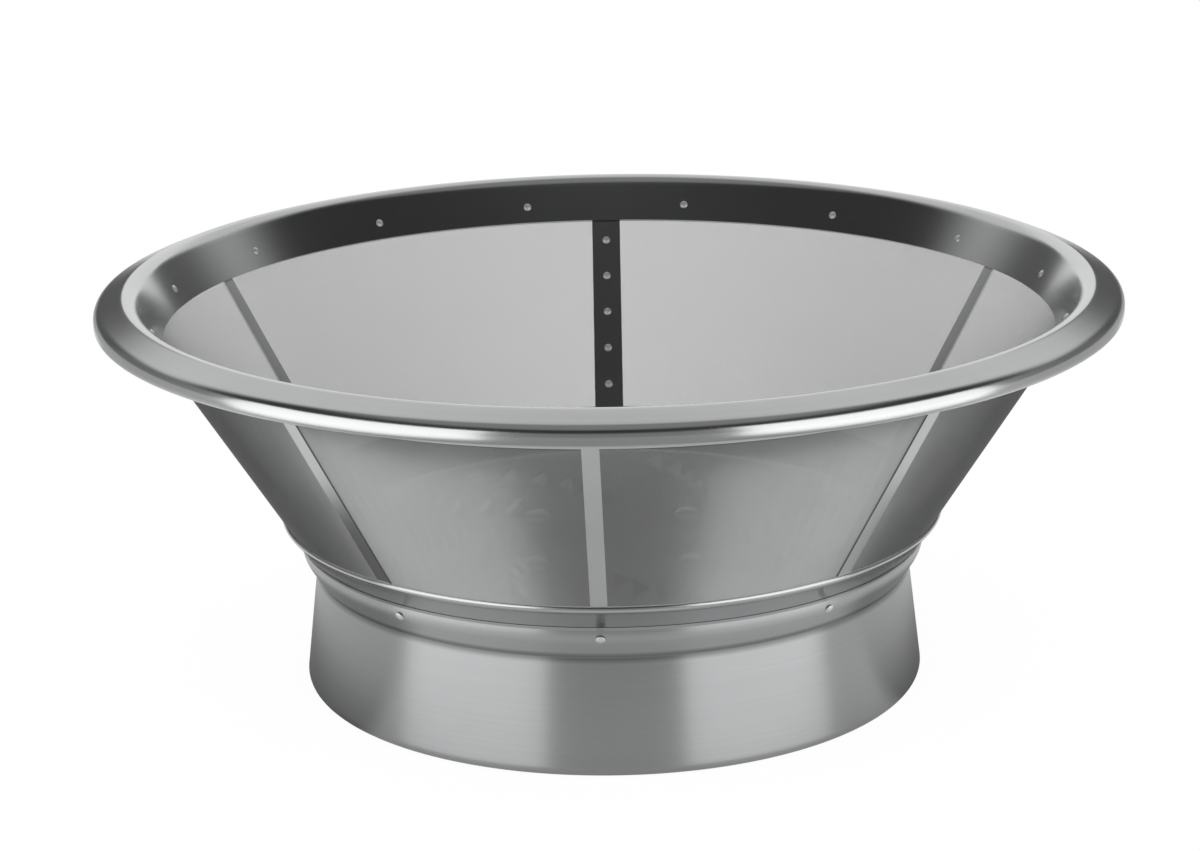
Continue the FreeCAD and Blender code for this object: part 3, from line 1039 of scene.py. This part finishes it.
def floor_material(stage):
    """White floor that keeps the basket's shadow. Metal sees a floor with painted shade and a painted shadow
    instead.
    """
    material, tree, output = stage_tree("Studio floor")
    path = tree.nodes.new("ShaderNodeLightPath")
    matt = tree.nodes.new("ShaderNodeBsdfDiffuse")
    matt.inputs["Color"].default_value = FLOOR_COLOUR
    white = mixed_shader(tree, FLOOR_GLOW_SHARE, matt.outputs["BSDF"], emission(tree, FLOOR_GLOW))
    # Floor in the metal, with its painted shade and painted shadow
    table = emission(tree, floor_in_metal(tree, stage))
    tree.links.new(mixed_shader(tree, path.outputs["Is Glossy Ray"], white, table), output.inputs["Surface"])
    return material


def backdrop_material(stage):
    """White, and a little less in the metal. The camera sees the white world behind it instead."""
    material, tree, output = stage_tree("Studio backdrop")
    path = tree.nodes.new("ShaderNodeLightPath")
    strength = blended(tree, path.outputs["Is Glossy Ray"], 1.0, stage.backdrop_level)
    tree.links.new(emission(tree, strength), output.inputs["Surface"])
    return material


def room_in_metal(tree, stage):
    """Level of the room in the metal: dim walls, darkest beside the backdrop, and a ceiling that is dark in
    front, brighter overhead and bright above the backdrop."""
    direction = tree.nodes.new("ShaderNodeTexCoord").outputs["Generated"]
    x, y, z = split(tree, direction)
    to_back = eased(tree, y, BACK_WALLS)
    to_corner = eased(tree, math_node(tree, "ABSOLUTE", x), BACK_CORNERS)
    back_walls = blended(tree, to_corner, stage.back_level, stage.corner_level)
    walls = blended(tree, eased(tree, y, SIDE_WALLS), stage.front_level, stage.side_level)
    walls = blended(tree, to_back, walls, back_walls)
    ceiling = blended(tree, eased(tree, z, OVERHEAD), stage.ceiling_level, stage.zenith_level)
    ceiling = blended(tree, to_back, ceiling, stage.back_ceiling_level)
    leaning = math_node(tree, "MULTIPLY_ADD", y, CEILING_LEAN, z)
    return blended(tree, eased(tree, leaning, CEILING_EDGE), walls, ceiling)


def studio_world(stage):
    """White to the camera, an even pale light on matt surfaces, and a dim room in the metal."""
    world = bpy.data.worlds.new("Studio")
    world.use_nodes = True
    tree = world.node_tree
    tree.nodes.clear()
    output = tree.nodes.new("ShaderNodeOutputWorld")
    path = tree.nodes.new("ShaderNodeLightPath")
    background = tree.nodes.new("ShaderNodeBackground")
    strength = blended(tree, path.outputs["Is Glossy Ray"], 1.0, room_in_metal(tree, stage))
    set_input(tree, background.inputs["Strength"], strength)
    tree.links.new(background.outputs["Background"], output.inputs["Surface"])
    return world


def add_softbox(stage, name, azimuth):
    """A softbox that stands on the floor and faces the basket."""
    lamp = bpy.data.lights.new(name, "AREA")
    lamp.shape = "RECTANGLE"
    lamp.size = stage.box_width
    lamp.size_y = stage.box_height
    lamp.energy = stage.box_level * math.pi * stage.box_width * stage.box_height
    box = bpy.data.objects.new(name, lamp)
    centre = around(azimuth, stage.box_distance, stage.box_height / 2.0)
    box.location = centre
    box.rotation_euler = Vector((centre.x, centre.y, 0.0)).to_track_quat("Z", "Y").to_euler()
    box.visible_camera = False
    bpy.context.scene.collection.objects.link(box)
    return box


def add_camera(stage):
    """The photograph's view of the basket."""
    eye = Vector(stage.eye)
    ahead = (Vector(stage.target) - eye).normalized()
    right = ahead.cross(Vector((0.0, 0.0, 1.0))).normalized()
    up = right.cross(ahead)
    upright = Matrix((right, up, -ahead)).transposed()
    camera = bpy.data.cameras.new("Camera")
    camera.lens = stage.lens
    camera.sensor_fit = "HORIZONTAL"
    camera.sensor_width = SENSOR_WIDTH
    camera.clip_start = CLIP_START
    camera.clip_end = CLIP_END
    view = bpy.data.objects.new("Camera", camera)
    view.matrix_world = Matrix.Translation(eye) @ (upright @ Matrix.Rotation(stage.roll, 3, "Z")).to_4x4()
    bpy.context.scene.collection.objects.link(view)
    bpy.context.scene.camera = view


class JUICER_OT_stage(Operator):
    """Floor, backdrop, softboxes, world and camera"""

    bl_idname = "juicer.stage"
    bl_label = "Studio stage"

    def execute(self, context):
        stage = context.scene.juicer_screen.stage
        half = stage.floor_size / 2.0
        low = -FLOOR_DROP
        floor_corners = [(-half, -half, low), (half, -half, low), (half, half, low), (-half, half, low)]
        quad("studio_floor", floor_corners, floor_material(stage))
        side = stage.backdrop_width / 2.0
        back = stage.backdrop_distance
        top = stage.backdrop_height
        backdrop_corners = [(-side, back, 0.0), (side, back, 0.0), (side, back, top), (-side, back, top)]
        backdrop = quad("studio_backdrop", backdrop_corners, backdrop_material(stage))
        backdrop.visible_camera = False
        add_softbox(stage, "softbox_left", -stage.box_azimuth)
        add_softbox(stage, "softbox_right", stage.box_azimuth)
        context.scene.world = studio_world(stage)
        add_camera(stage)
        context.scene.view_settings.view_transform = "Standard"
        return {"FINISHED"}


STEPS = (
    JUICER_OT_rim,
    JUICER_OT_base,
    JUICER_OT_screen_sheet,
    JUICER_OT_screen_mesh,
    JUICER_OT_welds,
    JUICER_OT_carried_finishes,
    JUICER_OT_stage,
)


class JUICER_PT_panel(Panel):
    bl_idname = "JUICER_PT_panel"
    bl_label = "Juicer mesh screen"
    bl_space_type = "VIEW_3D"
    bl_region_type = "UI"
    bl_category = "Juicer Screen"

    def draw(self, context):
        for step in STEPS:
            self.layout.operator(step.bl_idname)


GROUPS = (ScreenSizes, RimSizes, BaseSizes, WeldSizes, Finishes, StageSizes, JuicerScreen)
CLASSES = GROUPS + STEPS + (JUICER_PT_panel,)


def register():
    for entry in CLASSES:
        bpy.utils.register_class(entry)
    bpy.types.Scene.juicer_screen = PointerProperty(type=JuicerScreen)


def unregister():
    del bpy.types.Scene.juicer_screen
    for entry in reversed(CLASSES):
        bpy.utils.unregister_class(entry)


def main():
    register()
    bpy.ops.juicer.rim()
    bpy.ops.juicer.base()
    bpy.ops.juicer.screen_sheet()
    bpy.ops.juicer.screen_mesh()
    bpy.ops.juicer.welds()
    bpy.ops.juicer.carried_finishes()
    bpy.ops.juicer.stage()


if __name__ == "__main__":
    main()
